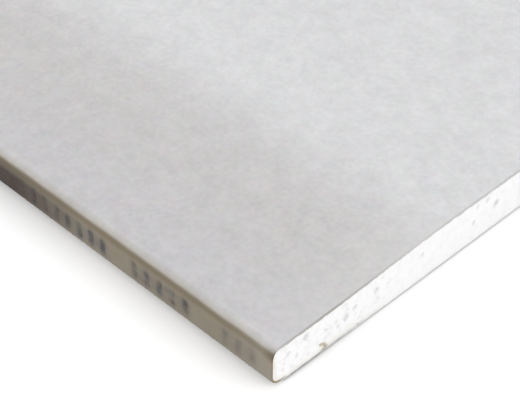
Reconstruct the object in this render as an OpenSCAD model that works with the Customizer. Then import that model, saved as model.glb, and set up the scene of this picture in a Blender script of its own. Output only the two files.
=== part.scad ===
// Drywall sheet with tapered, paper-bound long edges and square-cut ends.
// Frame: X along the sheet, Y across it, Z up from the back to the face.
// The origin is the middle of the back, which lies on the floor.

/* [Sheet] */
// Length of the sheet, between the two cut ends
sheet_l = 2400; // [600:50:3600]
// Width of the sheet, across its two bound edges
sheet_w = 1200; // [400:50:1250]
// Thickness of the sheet away from its tapers, with both papers
sheet_t = 12.5; // [9.5:0.5:18]

/* [Tapered edge] */
// Width of each taper, from the long edge to the full thickness
taper_w = 58; // [40:1:80]
// Flat strip beside the long edge, at the bottom of the taper
taper_land = 10; // [4:1:25]
// How far the flat strip lies below the face
taper_depth = 1.4; // [0.6:0.1:2.5]
// Radius of the arris between the face and the long edge
face_arris_r = 2.9; // [1:0.1:3]
// Radius of the arris between the long edge and the back
back_arris_r = 2.9; // [1:0.1:3]

/* [Paper] */
// Thickness of the face paper
face_paper_t = 0.5; // [0.25:0.05:0.6]
// Thickness of the back paper
back_paper_t = 0.5; // [0.25:0.05:0.6]
// Width of the face paper that is folded under, from the long edge
flap_w = 26; // [15:1:45]
// Bare margin between the long edge and the back paper
back_margin = 4; // [3:0.5:12]

/* [Hidden] */
taper_steps = 12;
$fn = 64;
half_w = sheet_w / 2;
edge_z = sheet_t - taper_depth;
flap_z = back_paper_t;
flap_top_z = flap_z + face_paper_t;

// Height of the face at a distance from the long edge: level on the land, an S curve, then level.
function ramp(d) = min(1, max(0, (d - taper_land) / (taper_w - taper_land)));
function face_z(d) = edge_z + taper_depth * (1 - cos(180 * ramp(d))) / 2;

// Points of one taper, from the face arris inwards, lowered by a paper's thickness.
function taper_points(inset) = [
    for (i = [0 : taper_steps])
        let (d = taper_land + (taper_w - taper_land) * i / taper_steps)
            [half_w - d, face_z(d) - inset]
];

function mirrored(points) = [for (i = [len(points) - 1 : -1 : 0]) [-points[i][0], points[i][1]]];

// Half outline of the sheet, with a chamfer where each round arris goes. The inset takes a paper off
// the face and the long edge, and floor_z is the level of the underside.
function half_outline(inset, floor_z) = [
    [half_w - back_arris_r, floor_z],
    [half_w - inset, flap_z + back_arris_r],
    [half_w - inset, edge_z - face_arris_r],
    [half_w - face_arris_r, edge_z - inset],
    each taper_points(inset)
];

// Section across the sheet, as the face paper's outer skin (inset 0) or the core's (inset of one paper).
module sheet_section(inset, floor_z) {
    right = half_outline(inset, floor_z);
    polygon([each right, each mirrored(right)]);
    for (side = [-1, 1]) {
        translate([side * (half_w - face_arris_r), edge_z - face_arris_r])
            circle(r = face_arris_r - inset);
        translate([side * (half_w - back_arris_r), flap_z + back_arris_r])
            circle(r = back_arris_r - inset);
    }
}

// Band between two levels, from one side of the sheet's middle line to the other.
module level_band(width, low_z, high_z) {
    translate([-width / 2, low_z])
        square([width, high_z - low_z]);
}

// Runs a section the length of the sheet.
module along_sheet() {
    rotate([90, 0, 90])
        linear_extrude(height = sheet_l, center = true)
            children();
}

// Cast plaster, which fills all the space inside the two papers.
module gypsum_core() {
    color("whitesmoke")
        along_sheet() {
            sheet_section(face_paper_t, flap_top_z);
            level_band(sheet_w - 2 * flap_w, flap_z, flap_top_z);
        }
}

// Liner over the face, round both long edges and folded under as two flaps.
module face_paper() {
    color("lightgray")
        along_sheet()
            difference() {
                sheet_section(0, flap_z);
                sheet_section(face_paper_t, flap_top_z);
                level_band(sheet_w - 2 * flap_w, 0, flap_top_z);
            }
}

// Liner over the back, glued across the two flaps.
module back_paper() {
    color("darkgray")
        along_sheet()
            level_band(sheet_w - 2 * back_margin, 0, back_paper_t);
}

gypsum_core();
face_paper();
back_paper();
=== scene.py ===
# Drywall sheet: a plaster core between two papers, bound at its long edges and cut square at its ends.
# Sizes are in metres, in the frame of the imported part: X along the sheet, Y across it, Z up.
import math
import random

import bmesh
import bpy
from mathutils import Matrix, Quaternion, Vector, noise
from mathutils.kdtree import KDTree


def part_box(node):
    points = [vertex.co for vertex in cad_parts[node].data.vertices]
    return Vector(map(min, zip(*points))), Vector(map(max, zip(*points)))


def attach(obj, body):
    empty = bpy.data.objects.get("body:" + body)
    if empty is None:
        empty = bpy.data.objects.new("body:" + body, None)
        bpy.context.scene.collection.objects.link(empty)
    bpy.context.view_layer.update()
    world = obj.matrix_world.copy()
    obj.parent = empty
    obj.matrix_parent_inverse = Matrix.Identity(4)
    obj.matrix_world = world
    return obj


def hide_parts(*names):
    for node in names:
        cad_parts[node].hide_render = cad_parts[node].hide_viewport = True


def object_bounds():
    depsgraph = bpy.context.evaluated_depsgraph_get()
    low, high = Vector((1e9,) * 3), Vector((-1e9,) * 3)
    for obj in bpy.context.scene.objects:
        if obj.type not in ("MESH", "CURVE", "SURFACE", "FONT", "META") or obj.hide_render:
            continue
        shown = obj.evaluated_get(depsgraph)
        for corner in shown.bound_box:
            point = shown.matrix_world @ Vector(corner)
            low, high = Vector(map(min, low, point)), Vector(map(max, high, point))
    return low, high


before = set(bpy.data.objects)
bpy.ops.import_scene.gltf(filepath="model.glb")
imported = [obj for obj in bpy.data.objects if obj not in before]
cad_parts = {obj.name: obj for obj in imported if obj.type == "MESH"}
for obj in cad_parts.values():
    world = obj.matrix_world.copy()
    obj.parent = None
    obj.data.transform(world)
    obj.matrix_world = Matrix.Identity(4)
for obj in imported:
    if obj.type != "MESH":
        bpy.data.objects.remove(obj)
cad_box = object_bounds()


# ---------------------------------------------------------------- Camera
# A lens held low over one corner of the sheet, looking down its diagonal, so that the face fills the
# view and the bound edge and the cut end run away from the corner on either side.
mm = 0.001
sheet_top = cad_box[1]
half_length = sheet_top.x
half_width = sheet_top.y
view_azimuth = math.radians(45.275)
view_elevation = math.radians(40.441)
lens_length = 105.85
sensor_width = 36

# Where the corner of the sheet stands on the floor, seen from the camera: how far off, how far to the
# right of the view's middle, and how far above it.
corner_depth = 315.9 * mm
corner_right = 2.3 * mm
corner_up = -39.27 * mm

to_camera = Vector((
    math.sin(view_azimuth) * math.cos(view_elevation),
    -math.cos(view_azimuth) * math.cos(view_elevation),
    math.sin(view_elevation),
))
view_right = Vector((math.cos(view_azimuth), math.sin(view_azimuth), 0))
view_up = to_camera.cross(view_right)
ground_corner = Vector((half_length, -half_width, 0))

camera_data = bpy.data.cameras.new("camera")
camera_data.sensor_width = sensor_width
camera_data.lens = lens_length
camera_data.clip_start = 0.01
camera = bpy.data.objects.new("camera", camera_data)
camera.location = ground_corner - corner_right * view_right - corner_up * view_up + corner_depth * to_camera
camera.rotation_mode = "QUATERNION"
camera.rotation_quaternion = to_camera.to_track_quat("Z", "Y")
bpy.context.scene.collection.objects.link(camera)
bpy.context.scene.camera = camera


# ---------------------------------------------------------------- Gypsum core
# Foamed plaster, cast as a ribbon between the two papers and cut to length once it has set. Its two
# ends are bare: chalk white, with open air bubbles, drag lines from the cut and a cracked lower edge.
paper = sheet_top.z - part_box("gypsum_core")[1].z
back_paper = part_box("back_paper")[1].z

# The rest of the section's sizes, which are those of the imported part.
taper_land = 10 * mm
taper_width = 58 * mm
edge_height = sheet_top.z - 1.4 * mm
arris = 2.9 * mm
flap_width = 26 * mm
core_half_width = half_width - paper
core_arris = arris - paper

# The mesh of a cut end, which is finest in a zone beside the near corner. The plaster is set back a
# little from the ends of the papers.
core_pitch = 1 * mm
core_rows = 12
arc_columns = 10
flat_columns = round(2 * (core_half_width - core_arris) / core_pitch)
core_columns = flat_columns + 2 * arc_columns
cut_recess = 0.16 * mm
near_zone = 92 * mm


def face_height(inward):
    """Height of the face at a distance in from the long edge: a level strip, an S curve, then level."""
    ramp = min(1, max(0, (inward - taper_land) / (taper_width - taper_land)))
    return edge_height + (sheet_top.z - edge_height) * (1 - math.cos(math.pi * ramp)) / 2


def core_outline(y):
    """Lowest and highest point of the core's section at a place across the sheet."""
    inward = core_half_width - abs(y)
    arris_reach = max(0, core_arris - inward)
    arris_drop = core_arris - math.sqrt(core_arris ** 2 - min(core_arris, arris_reach) ** 2)
    flap = paper if inward + paper < flap_width else 0
    return back_paper + flap + arris_drop, face_height(inward + paper) - paper - arris_drop


def core_column_y(column):
    """Place across the sheet of a column of the end grid, in equal steps of turn round each arris."""
    mirrored = core_columns - column
    if column < arc_columns:
        return -core_half_width + core_arris * (1 - math.cos(math.pi / 2 * column / arc_columns))
    if mirrored < arc_columns:
        return -core_column_y(mirrored)
    return (column - core_columns / 2) / flat_columns * 2 * (core_half_width - core_arris)


def refine(mesh, is_inside, passes):
    """Halves the cells whose middles pass a test, a number of times."""
    for _ in range(passes):
        edges = {edge for face in mesh.faces if is_inside(face.calc_center_median()) for edge in face.edges}
        bmesh.ops.subdivide_edges(mesh, edges=list(edges), cuts=1, use_grid_fill=True)


def finish_piece(name, mesh_builder, sharp_angle=math.radians(50)):
    """Turns a finished bmesh into an object at the origin, shaded smooth but for its sharp edges."""
    mesh = bpy.data.meshes.new(name)
    mesh_builder.to_mesh(mesh)
    mesh_builder.free()
    mesh.shade_smooth()
    mesh.set_sharp_from_angle(angle=sharp_angle)
    piece = bpy.data.objects.new(name, mesh)
    bpy.context.scene.collection.objects.link(piece)
    return piece


# The core is one cut end as a grid, run back to the other end as a solid.
core_mesh = bmesh.new()
bmesh.ops.create_grid(core_mesh, x_segments=core_columns, y_segments=core_rows, size=0.5)
for vert in core_mesh.verts:
    y = core_column_y(round((vert.co.x + 0.5) * core_columns))
    low, high = core_outline(y)
    vert.co = (half_length - cut_recess, y, low + (high - low) * (vert.co.y + 0.5))
far_end = bmesh.ops.extrude_face_region(core_mesh, geom=core_mesh.faces[:])["geom"]
far_end_verts = [item for item in far_end if isinstance(item, bmesh.types.BMVert)]
bmesh.ops.translate(core_mesh, vec=(2 * cut_recess - 2 * half_length, 0, 0), verts=far_end_verts)
bmesh.ops.recalc_face_normals(core_mesh, faces=core_mesh.faces[:])

# Air bubbles that the cut has opened: those beside the near corner, by millimetres in from the long
# edge, height and radius, and then smaller and larger ones scattered along the rest of both ends.
corner_bubbles = (
    (3.7, 3.2, 0.5), (5.4, 6.7, 0.6), (7.8, 4.5, 0.6), (10.5, 7.8, 0.9), (16.6, 5.5, 0.5), (20.3, 4, 0.6),
    (23, 4.7, 0.9), (25.5, 6, 0.8), (32.5, 6.5, 0.8), (33, 4, 0.5),
    (36.5, 6, 0.5), (47.5, 7, 0.7), (65.5, 5.5, 0.7), (66.5, 9.5, 0.5), (70, 9.5, 0.7), (73.5, 6.5, 1.0),
)
bubbles_per_end = 110
widest_bubble = 1 * mm
bubble_border = 1.2 * mm
small_share = 0.7
dice = random.Random(12)
near_bubbles = [(inward * mm - half_width, z * mm, radius * mm) for inward, z, radius in corner_bubbles]
end_bubbles = {1: near_bubbles, -1: []}
for end in end_bubbles:
    for _ in range(bubbles_per_end):
        y = dice.uniform(-1, 1) * (core_half_width - 4 * mm)
        low, high = core_outline(y)
        z = dice.uniform(low + bubble_border, high - bubble_border)
        is_small = dice.random() < small_share
        radius = dice.uniform(0.22, 0.45) * mm if is_small else dice.uniform(0.45, 0.9) * mm
        if end < 0 or y > near_zone - half_width:
            end_bubbles[end].append((y, z, radius))

bubble_finders = {}
for end, bubbles in end_bubbles.items():
    finder = KDTree(len(bubbles))
    for index, (y, z, radius) in enumerate(bubbles):
        finder.insert((0, y, z), index)
    finder.balance()
    bubble_finders[end] = finder

# A flake of the lower edge has broken out, and a hairline crack runs down to it. Its stops are given
# in millimetres from the long edge and from the floor, and the chipped part starts at a stop.
crack_stops = ((10.9, 6.4), (12.9, 4.3), (14.6, 2.5), (16.3, 1.6), (16.4, 0.7), (15.6, 0.5))
crack_line = [Vector((inward * mm - half_width, z * mm)) for inward, z in crack_stops]
chip_start = 2


def crack_nearness(y, z):
    """Distance from the crack, and how far along it the nearest point lies, in legs."""
    best = (1, 0)
    for leg, (start, stop) in enumerate(zip(crack_line, crack_line[1:])):
        along = stop - start
        share = min(1, max(0, (Vector((y, z)) - start).dot(along) / along.length_squared))
        best = min(best, ((start + share * along - Vector((y, z))).length, leg + share))
    return best


def on_a_cut(point):
    return abs(point.x) > half_length - 1 * mm


def in_near_zone(point):
    return on_a_cut(point) and point.x > 0 and point.y < near_zone - half_width


def near_a_bubble(point):
    if in_near_zone(point) or not on_a_cut(point):
        return False
    end = 1 if point.x > 0 else -1
    margin = 0.5 * mm
    found = bubble_finders[end].find_range((0, point.y, point.z), widest_bubble + margin)
    return any(distance < end_bubbles[end][index][2] + margin for _, index, distance in found)


def near_crack(point):
    return in_near_zone(point) and crack_nearness(point.y, point.z)[0] < 0.9 * mm


refine(core_mesh, in_near_zone, 2)
refine(core_mesh, near_a_bubble, 2)
refine(core_mesh, near_crack, 1)

drag_slant = 0.35
crumble_depth = 0.16 * mm
crumble_reach = 0.35 * mm
foot_rise = 0.22 * mm
foot_reach = 0.9 * mm
least_recess = 0.03 * mm
bowl_share = 0.6


def ripple(end, y, z, width, height, layer):
    """Smooth noise over a cut end, from about -1 to 1, in cells of a width and a height."""
    return noise.noise(Vector((y / width, z / height, layer * end)))


def cut_relief(end, y, z, low, rim):
    """Depth of the cut plaster: waves, drag lines, grit and a crumbled border, but flush at its foot."""
    drag = ripple(end, y - drag_slant * z, z, 0.7 * mm, 6 * mm, 1)
    waves = ripple(end, y, z, 9 * mm, 6 * mm, 7)
    grit = ripple(end, y, z, 0.9 * mm, 0.9 * mm, 3)
    crumble = max(0, 0.5 + 0.9 * ripple(end, y, z, 1.6 * mm, 1.6 * mm, 11))
    depth = (0.08 + 0.05 * waves + 0.03 * drag + 0.03 * grit) * mm
    depth += crumble_depth * crumble * math.exp(-rim / crumble_reach)
    depth -= foot_rise * math.exp(-(z - low) / foot_reach)
    return max(depth, least_recess - cut_recess)


def bubble_bowl(end, y, z):
    """Depth of the deepest round bubble at a place on a cut end."""
    bowl = 0
    for _, index, distance in bubble_finders[end].find_range((0, y, z), widest_bubble):
        radius = end_bubbles[end][index][2]
        if distance < radius:
            bowl = max(bowl, radius * math.sqrt(1 - (distance / radius) ** 2))
    return bowl


rim_layer = core_mesh.verts.layers.float.new("rim")
pit_layer = core_mesh.verts.layers.float.new("pit")
crack_layer = core_mesh.verts.layers.float.new("crack")
for vert in core_mesh.verts:
    end = 1 if vert.co.x > 0 else -1
    y, z = vert.co.y, vert.co.z
    low, high = core_outline(y)
    rim = min(z - low, high - z, core_half_width - abs(y))
    bowl = bubble_bowl(end, y, z)
    vert[rim_layer] = rim / mm
    vert[pit_layer] = bowl / mm
    depth = cut_relief(end, y, z, low, rim) + bowl_share * bowl
    if end > 0 and y < near_zone - half_width:
        gap, leg = crack_nearness(y, z)
        chipped = min(1, max(0, leg - chip_start + 0.1) * 4)
        crack_width = (0.16 + 0.26 * chipped) * mm
        opened = math.exp(-((gap / crack_width) ** 2))
        depth += opened * (0.1 + 0.12 * chipped) * mm
        vert[crack_layer] = opened * chipped
    vert.co.x -= end * depth

gypsum_core = finish_piece("plaster_core", core_mesh)


def feed(socket, value):
    """Gives a node's input its value, or links it to the socket that the value comes from."""
    if isinstance(value, bpy.types.NodeSocket):
        socket.id_data.links.new(value, socket)
    else:
        socket.default_value = value


def add_node(tree, kind, inputs=(), **settings):
    """Adds a shader node with its settings and inputs."""
    node = tree.nodes.new("ShaderNode" + kind)
    for name, value in settings.items():
        setattr(node, name, value)
    for name, value in dict(inputs).items():
        feed(node.inputs[name], value)
    return node


def tree_of(values):
    """The node tree of the first socket among some values."""
    return next(value.id_data for value in values if isinstance(value, bpy.types.NodeSocket))


def new_finish(name, roughness, specular):
    """A material with its shader, and the place on the object that its patterns are laid out in."""
    material = bpy.data.materials.new(name)
    material.use_nodes = True
    shader = material.node_tree.nodes["Principled BSDF"]
    shader.inputs["Roughness"].default_value = roughness
    shader.inputs["Specular IOR Level"].default_value = specular
    place = add_node(material.node_tree, "TexCoord").outputs["Object"]
    return material, shader, place


def attribute(material, name):
    return add_node(material.node_tree, "Attribute", attribute_name=name).outputs["Fac"]


def part_of(place, axis):
    """How far along (X), across (Y) or up (Z) a place lies from the middle of the sheet's back."""
    return add_node(place.id_data, "SeparateXYZ", {"Vector": place}).outputs[axis]


def speckle(place, scale, detail=2, roughness=0.5, stretch=(1, 1, 1)):
    """Cloudy noise from 0 to 1, with so many cells to the metre."""
    stretched = add_node(place.id_data, "Mapping", {"Vector": place, "Scale": stretch}).outputs["Vector"]
    inputs = {"Vector": stretched, "Scale": scale, "Detail": detail, "Roughness": roughness}
    return add_node(place.id_data, "TexNoise", inputs).outputs["Fac"]


def remap(value, low, high, to_low, to_high):
    """Carries a value from one range to another, held at both ends."""
    inputs = {"Value": value, "From Min": low, "From Max": high, "To Min": to_low, "To Max": to_high}
    return add_node(value.id_data, "MapRange", inputs).outputs["Result"]


def calculate(operation, *values):
    """One step of arithmetic on values and sockets."""
    inputs = dict(enumerate(values))
    return add_node(tree_of(values), "Math", inputs, operation=operation).outputs["Value"]


def added(value, *others):
    for other in others:
        value = calculate("ADD", value, other)
    return value


def multiplied(value, *others):
    for other in others:
        value = calculate("MULTIPLY", value, other)
    return value


def blend(share, first, second, how="MIX"):
    """Mixes two colours, by a share from 0 to 1."""
    inputs = {0: share, 6: first, 7: second}
    tree = tree_of(inputs.values())
    return add_node(tree, "Mix", inputs, data_type="RGBA", blend_type=how).outputs[2]


def emboss(shader, height, strength, distance):
    """Raises the shader's surface by a height pattern."""
    inputs = {"Height": height, "Strength": strength, "Distance": distance}
    feed(shader.inputs["Normal"], add_node(shader.id_data, "Bump", inputs).outputs["Normal"])


chalk_white = (0.775, 0.773, 0.778, 1)
chalk_grey = (0.65, 0.648, 0.655, 1)
stained_cream = (0.71, 0.67, 0.58, 1)
pit_shade_grey = (0.56, 0.56, 0.57, 1)
crack_brown = (0.42, 0.365, 0.27, 1)

# Grey clouds and a cream stain along the border of the cut, both stronger towards the long edges.
gypsum, shader, place = new_finish("gypsum", 0.92, 0.25)
to_edge = calculate("ABSOLUTE", part_of(place, "Y"))
clouds = remap(speckle(place, 420, 4, 0.65), 0.5, 0.78, 0, 1)
clouds = multiplied(clouds, remap(to_edge, half_width - 45 * mm, half_width - 15 * mm, 0.5, 1.5))
colour = blend(clouds, chalk_white, chalk_grey)
stained = remap(to_edge, half_width - 40 * mm, half_width - 25 * mm, 0.15, 1)
ragged_rim = added(attribute(gypsum, "rim"), speckle(place, 500))
stained = multiplied(stained, remap(ragged_rim, 0.4, 1.7, 0.6, 0))
stained = multiplied(stained, remap(to_edge, half_width - 4 * mm, half_width - 1.5 * mm, 1, 1.6))
colour = blend(stained, colour, stained_cream)
# Painted shade: the bubbles are greyed by their depth, standing in for the shade inside them.
colour = blend(remap(attribute(gypsum, "pit"), 0.05, 0.9, 0, 0.75), colour, pit_shade_grey)
colour = blend(attribute(gypsum, "crack"), colour, crack_brown)
feed(shader.inputs["Base Color"], colour)
emboss(shader, speckle(place, 2600, 3, 0.7), 0.5, 0.06 * mm)
gypsum_core.data.materials.append(gypsum)
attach(gypsum_core, "root")
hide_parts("gypsum_core")


# ---------------------------------------------------------------- Face paper
# One web of pale grey liner that covers the face, turns down round both long edges and is folded under
# as two flaps. The cut has dragged the end of its face down over the plaster, as a soft grey fringe.
flat_reach = half_width - arris
turn_length = math.pi / 2 * arris
side_length = edge_height - back_paper - 2 * arris
flap_start = flat_reach + 2 * turn_length + side_length
flap_end = flap_start + flap_width - arris
crease_place = flat_reach + 3.7 * mm
crease_half_width = 0.5 * mm
crease_depth = 0.1 * mm
fringe_drop = 0.5 * mm
fringe_end = 2.2 * mm
fine_spacing = 0.35 * mm
web_spacing = 1 * mm

# Rings of the mesh going round a cut end, from the outer skin to the inner one: millimetres back from
# the end, share of the paper's thickness below its skin, and share of the fringe's drop below that.
cut_profile = (
    (30, 0, 0), (6, 0, 0), (1.5, 0, 0), (0.5, 0, 0), (0.16, 0, 0), (0.05, 0.06, 0), (0.01, 0.2, 0),
    (0, 0.45, 0), (0, 0.8, 0), (0, 1, 0.25), (0.01, 1, 0.65), (0.03, 1, 0.95), (0.07, 1, 1),
    (0.11, 1, 0.85), (0.13, 1, 0.4), (0.14, 1, 0), (1.5, 1, 0), (30, 1, 0),
)


def wrap_round(reach, inset):
    """Place across the section of a point in the face paper, from its distance along the paper from
    the sheet's middle line and its depth below the outer skin."""
    side = math.copysign(1, reach)
    reach = abs(reach)
    inset += crease_depth * math.exp(-(((reach - crease_place) / crease_half_width) ** 2))
    radius = arris - inset
    past = reach - flat_reach
    if past < 0:
        return side * reach, face_height(half_width - reach) - inset
    if past < turn_length:
        turn = past / arris
        return side * (flat_reach + radius * math.sin(turn)), edge_height - arris + radius * math.cos(turn)
    if past < turn_length + side_length:
        return side * (half_width - inset), edge_height - arris - (past - turn_length)
    if reach < flap_start:
        turn = (flap_start - reach) / arris
        return side * (flat_reach + radius * math.sin(turn)), back_paper + arris - radius * math.cos(turn)
    return side * (flat_reach + flap_start - reach), back_paper + inset


def face_fringe(reach):
    """How far the cut has dragged the paper down: in full on the face, and not at all on the edge."""
    share = min(1, max(0, (fringe_end + flat_reach - abs(reach)) / fringe_end))
    return fringe_drop * share


def evenly(start, stop, spacing):
    """Places from start up to but not at stop."""
    steps = math.ceil((stop - start) / spacing)
    return [start + (stop - start) * step / steps for step in range(steps)]


def make_web(name, reaches, place, fringe):
    """A web of paper: a flat grid laid along the sheet, taken round both cut ends and closed."""
    rings = [(1, *ring) for ring in reversed(cut_profile)] + [(-1, *ring) for ring in cut_profile]
    web = bmesh.new()
    bmesh.ops.create_grid(web, x_segments=len(reaches) - 1, y_segments=len(rings), size=0.5)
    past_layer = web.verts.layers.float.new("past")
    cut_layer = web.verts.layers.float.new("cut")
    for vert in web.verts:
        reach = reaches[round((vert.co.x + 0.5) * (len(reaches) - 1))]
        end, setback, share, drop = rings[round((vert.co.y + 0.5) * len(rings)) % len(rings)]
        rag = 0.5 + 0.5 * noise.noise(Vector((reach / (0.9 * mm), 5 * end, 0)))
        tuft = 1 + 0.55 * noise.noise(Vector((reach / (2.2 * mm), 9 * end, 0)))
        tuft += 0.35 * noise.noise(Vector((reach / (0.7 * mm), 9 * end, 4)))
        if setback < 1:
            setback += 0.05 * rag
        y, z = place(reach, share * paper + drop * tuft * fringe(reach))
        vert[past_layer] = (abs(reach) - flat_reach) / mm
        vert[cut_layer] = 1 if 0.1 < share and setback < 1 else 0
        vert.co = (end * (half_length - setback * mm), y, z)
    bmesh.ops.remove_doubles(web, verts=web.verts, dist=0.0001 * mm)
    bmesh.ops.holes_fill(web, edges=[edge for edge in web.edges if edge.is_boundary])
    bmesh.ops.recalc_face_normals(web, faces=web.faces[:])
    return finish_piece(name, web)


def half_web(near_spacing):
    """Mesh lines along half of the face paper, closer together near the long edge and round it."""
    places = evenly(0, flat_reach - near_zone, web_spacing)
    places += evenly(flat_reach - near_zone, flat_reach, near_spacing)
    places += evenly(flat_reach, flap_start, 0.7 * near_spacing)
    places += evenly(flap_start, flap_end, 2 * near_spacing)
    return places + [flap_end]


face_reaches = [-reach for reach in reversed(half_web(fine_spacing))] + half_web(web_spacing)[1:]
face_paper = make_web("face_liner_web", face_reaches, wrap_round, face_fringe)


def graded(value, stops):
    """A colour ramp whose stops are given in the value's own units."""
    first = stops[0][0]
    last = stops[-1][0]
    ramp = add_node(value.id_data, "ValToRGB", {"Fac": remap(value, first, last, 0, 1)})
    elements = ramp.color_ramp.elements
    for _ in stops[2:]:
        elements.new(0.5)
    for element, (position, red, green, blue) in zip(elements, stops):
        element.position = (position - first) / (last - first)
        element.color = (red, green, blue, 1)
    return ramp.outputs["Color"]


def off(value, middle):
    """How far a value is from a middle one, on either side."""
    return calculate("ABSOLUTE", calculate("SUBTRACT", value, middle))


# The liner's colour, by millimetres past the start of the turn: pale on the full thickness; greyer on the
# taper and its land, which is painted shade of the tilt; then buff and dark brown where it goes over the
# arris, partly the paper's tone and partly painted shade of the turn and its crease; and taupe down the
# edge, the paper's own hue darkened with painted shade of that shaded side.
liner_colours_and_shade = (
    (-56, 0.566, 0.566, 0.575),
    (-40, 0.486, 0.477, 0.48),
    (-28, 0.463, 0.452, 0.451),
    (-3, 0.475, 0.464, 0.476),
    (0.2, 0.46, 0.453, 0.463),
    (1, 0.376, 0.368, 0.366),
    (2.2, 0.272, 0.257, 0.233),
    (2.8, 0.11, 0.09, 0.06),
    (3.5, 0.1, 0.081, 0.053),
    (4.3, 0.132, 0.113, 0.083),
    (9.4, 0.133, 0.118, 0.091),
)
face_liner, shader, place = new_finish("face_liner", 0.7, 0.3)
past = attribute(face_liner, "past")
wander = remap(speckle(place, 220, 3, 0.6, (0.35, 1, 1)), 0.3, 0.7, -0.12, 0.12)
colour = graded(added(past, wander), liner_colours_and_shade)

# Its fibres are mottled: fine grain, blotches of some millimetres and a slow drift along the sheet.
grain = speckle(place, 750, 2, 0.5)
blotches = speckle(place, 190, 3, 0.6)
drift = speckle(place, 6, 2, 0.5, (0.25, 1, 1))
mottle = added(
    remap(grain, 0.3, 0.7, 0.955, 1.045),
    remap(blotches, 0.3, 0.7, -0.045, 0.045),
    remap(drift, 0.3, 0.7, -0.015, 0.015),
)
mottled = {0: colour, "Scale": mottle}
colour = add_node(face_liner.node_tree, "VectorMath", mottled, operation="SCALE").outputs["Vector"]
tint_noise = {"Vector": place, "Scale": 330, "Detail": 3}
tints = add_node(face_liner.node_tree, "TexNoise", tint_noise).outputs["Color"]
colour = blend(0.05, colour, tints, "OVERLAY")

# Plaster dust lies on the taper beside each cut, and thinly on the edge. The arris is bruised there.
dust = (0.75, 0.75, 0.75, 1)
bruise = (0.06, 0.035, 0.02, 1)
arris_place = 3.3
from_middle = calculate("ABSOLUTE", part_of(place, "X"))
to_cut = calculate("MULTIPLY_ADD", from_middle, -1 / mm, half_length / mm)  # in millimetres
dusty = multiplied(
    remap(to_cut, 0, 16, 0.11, 0),
    remap(past, -60, -45, 0, 1),
    remap(past, 0, 2, 1, 0.35),
)
colour = blend(dusty, colour, dust)
bruised = multiplied(remap(to_cut, 0.3, 3, 0.55, 0), remap(off(past, arris_place), 0.5, 2, 1, 0))
colour = blend(bruised, colour, bruise)

# Generic upright bars in soft ink, printed in groups along the middle of the near long edge, fainter
# towards the cut end: millimetres from the end to a group, bars in it, and how much ink they took.
ink = (0.035, 0.033, 0.037, 1)
bar_groups = ((4.5, 3, 0.45), (25, 5, 0.9), (52, 9, 0.95))
bar_pitch = 4.1
bar_gap = 2.2
bar_half = (bar_pitch - bar_gap) / 2
between_bars = 0.35
print_repeat = 400
print_height = 7.0
print_half_height = 2.1
near_side = remap(part_of(place, "Y"), -0.1, 0, 1, 0)
along = calculate("MODULO", to_cut, print_repeat)
inked = 0
for start, count, load in bar_groups:
    group_length = count * bar_pitch - bar_gap
    step = calculate("SUBTRACT", along, start)
    off_bar = off(calculate("MODULO", step, bar_pitch), bar_half)
    group = multiplied(
        remap(off_bar, bar_half - 0.5, bar_half + 0.5, load, between_bars * load),
        remap(step, -1.5, 0.5, 0, 1),
        remap(step, group_length - 0.5, group_length + 1.5, 1, 0),
    )
    inked = calculate("MAXIMUM", inked, group)
inked = multiplied(
    inked,
    remap(off(past, print_height), print_half_height - 0.6, print_half_height + 0.9, 1, 0),
    remap(speckle(place, 240, 3, 0.65), 0.38, 0.62, 0.4, 1.15),
    near_side,
)
colour = blend(inked, colour, ink)

# Painted shade: the near edge is darkened in a band from about 60 to 220 mm in from the cut end, repeated
# with the print, standing in for the light falling off along it.
edge_falloff_shade = (0.024, 0.016, 0.012, 1)
edge_falloff_share = multiplied(
    remap(along, 60, 84, 0, 0.95),
    remap(along, 130, 220, 1, 0),
    remap(past, 2.6, 5.5, 0, 1),
    near_side,
)
colour = blend(edge_falloff_share, colour, edge_falloff_shade)

# The cut of the paper: a fringe in two greys over the plaster, paler away from the edges, brown round
# the arrises and white with dust on the flap, where the stain of the broken flake runs on over it.
fringe_greys = ((0.32, 0.29, 0.28, 0.265), (0.7, 0.56, 0.555, 0.55))
cut_browns = (
    (2, 0.1, 0.065, 0.04),
    (4.2, 0.12, 0.085, 0.055),
    (5.2, 0.2, 0.165, 0.12),
    (10.5, 0.22, 0.18, 0.13),
    (13.5, 0.3, 0.24, 0.16),
    (16, 0.75, 0.75, 0.745),
)
flake_place = 27
near_end = remap(part_of(place, "X"), 0, 0.1, 0, 1)
fringe_shade = added(speckle(place, 28, 2, 0.5), remap(past, -45, -15, 0.08, -0.05))
cut_colour = blend(remap(past, 1.2, 2.6, 0, 1), graded(fringe_shade, fringe_greys), graded(past, cut_browns))
flake_stain = multiplied(remap(off(past, flake_place), 0.5, 1.6, 0.8, 0), near_side, near_end)
cut_colour = blend(flake_stain, cut_colour, crack_brown)
colour = blend(attribute(face_liner, "cut"), colour, cut_colour)
feed(shader.inputs["Base Color"], colour)
feed(shader.inputs["Roughness"], remap(grain, 0.3, 0.7, 0.62, 0.8))
emboss(shader, grain, 0.35, 0.05 * mm)
face_paper.data.materials.append(face_liner)
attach(face_paper, "root")
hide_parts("face_paper")


# ---------------------------------------------------------------- Back paper
# The second liner, of coarser and darker stock than the first. It lies under the core, glued across
# the two flaps of the face paper, and stops a little short of both long edges.
back_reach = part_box("back_paper")[1].y
back_spacing = 0.7 * mm


def lie_flat(reach, inset):
    return reach, inset


near_half = [-reach for reach in reversed(evenly(back_reach - near_zone, back_reach, back_spacing))]
far_half = evenly(near_zone - back_reach, back_reach, web_spacing)[1:]
back_places = [-back_reach] + near_half + far_half + [back_reach]
back_web = make_web("back_liner_web", back_places, lie_flat, lambda reach: 0)
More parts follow.
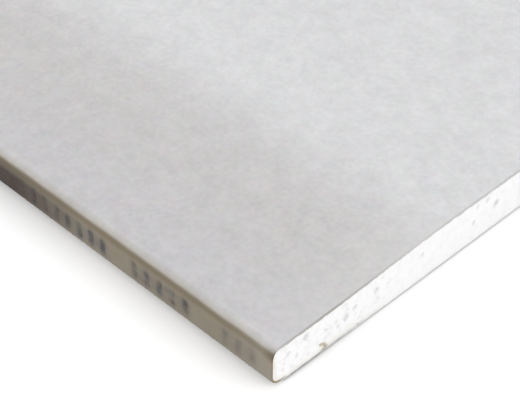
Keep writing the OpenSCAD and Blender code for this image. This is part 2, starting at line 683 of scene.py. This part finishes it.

# Grey-brown fibres. Its cut is darker grey towards the long edges and dusted white further in.
back_grey = (0.35, 0.335, 0.315, 1)
back_fibre = (0.25, 0.235, 0.215, 1)
back_cut_greys = ((0.05, 0.3, 0.297, 0.295), (0.45, 0.66, 0.658, 0.66), (0.75, 0.77, 0.77, 0.775))
back_liner, shader, place = new_finish("back_liner", 0.85, 0.25)
fibres = speckle(place, 700, 4, 0.7, (0.4, 1, 1))
colour = blend(remap(fibres, 0.35, 0.7, 0, 1), back_grey, back_fibre)
to_edge = calculate("ABSOLUTE", part_of(place, "Y"))
dusted = remap(to_edge, half_width - 40 * mm, half_width - 12 * mm, 0.3, -0.42)
cut_grey = graded(added(speckle(place, 160, 4, 0.7), dusted), back_cut_greys)
colour = blend(attribute(back_liner, "cut"), colour, cut_grey)
feed(shader.inputs["Base Color"], colour)
feed(shader.inputs["Roughness"], remap(fibres, 0.3, 0.7, 0.78, 0.92))
emboss(shader, fibres, 0.5, 0.08 * mm)
back_web.data.materials.append(back_liner)
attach(back_web, "root")
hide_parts("back_paper")


# ---------------------------------------------------------------- Floor and light
# A wide white floor just clear of the back's fuzz, an even white sky, a broad lamp held low in front of
# the long edge, which keeps that side's shadow pale, and a weaker one off the cut end.
floor_gap = 0.33 * mm
floor_reach = 60
sky_strength = 0.84
lamp_spread = math.radians(40)

floor_mesh = bmesh.new()
bmesh.ops.create_grid(floor_mesh, x_segments=1, y_segments=1, size=floor_reach)
bmesh.ops.translate(floor_mesh, vec=(0, 0, -floor_gap), verts=floor_mesh.verts)
floor = finish_piece("floor", floor_mesh)
floor_white, shader, _ = new_finish("floor_white", 1, 0)
shader.inputs["Base Color"].default_value = (0.95, 0.95, 0.95, 1)
floor.data.materials.append(floor_white)

world = bpy.data.worlds.new("studio")
world.use_nodes = True
sky = world.node_tree.nodes["Background"]
sky.inputs["Color"].default_value = (1, 1, 1, 1)
sky.inputs["Strength"].default_value = sky_strength
bpy.context.scene.world = world


def add_lamp(name, energy, heading, height):
    """A broad soft lamp, by the compass heading it stands at from +X and its angle above the floor."""
    lamp_data = bpy.data.lights.new(name, "SUN")
    lamp_data.energy = energy
    lamp_data.angle = lamp_spread
    lamp = bpy.data.objects.new(name, lamp_data)
    turn = Quaternion((0, 0, 1), math.radians(heading)) @ Quaternion((0, 1, 0), math.radians(90 - height))
    lamp.rotation_mode = "QUATERNION"
    lamp.rotation_quaternion = turn
    bpy.context.scene.collection.objects.link(lamp)


add_lamp("front_fill", 2.7, -97, 18)
add_lamp("end_lamp", 0.9, 20, 25)

bpy.context.scene.view_settings.view_transform = "Standard"
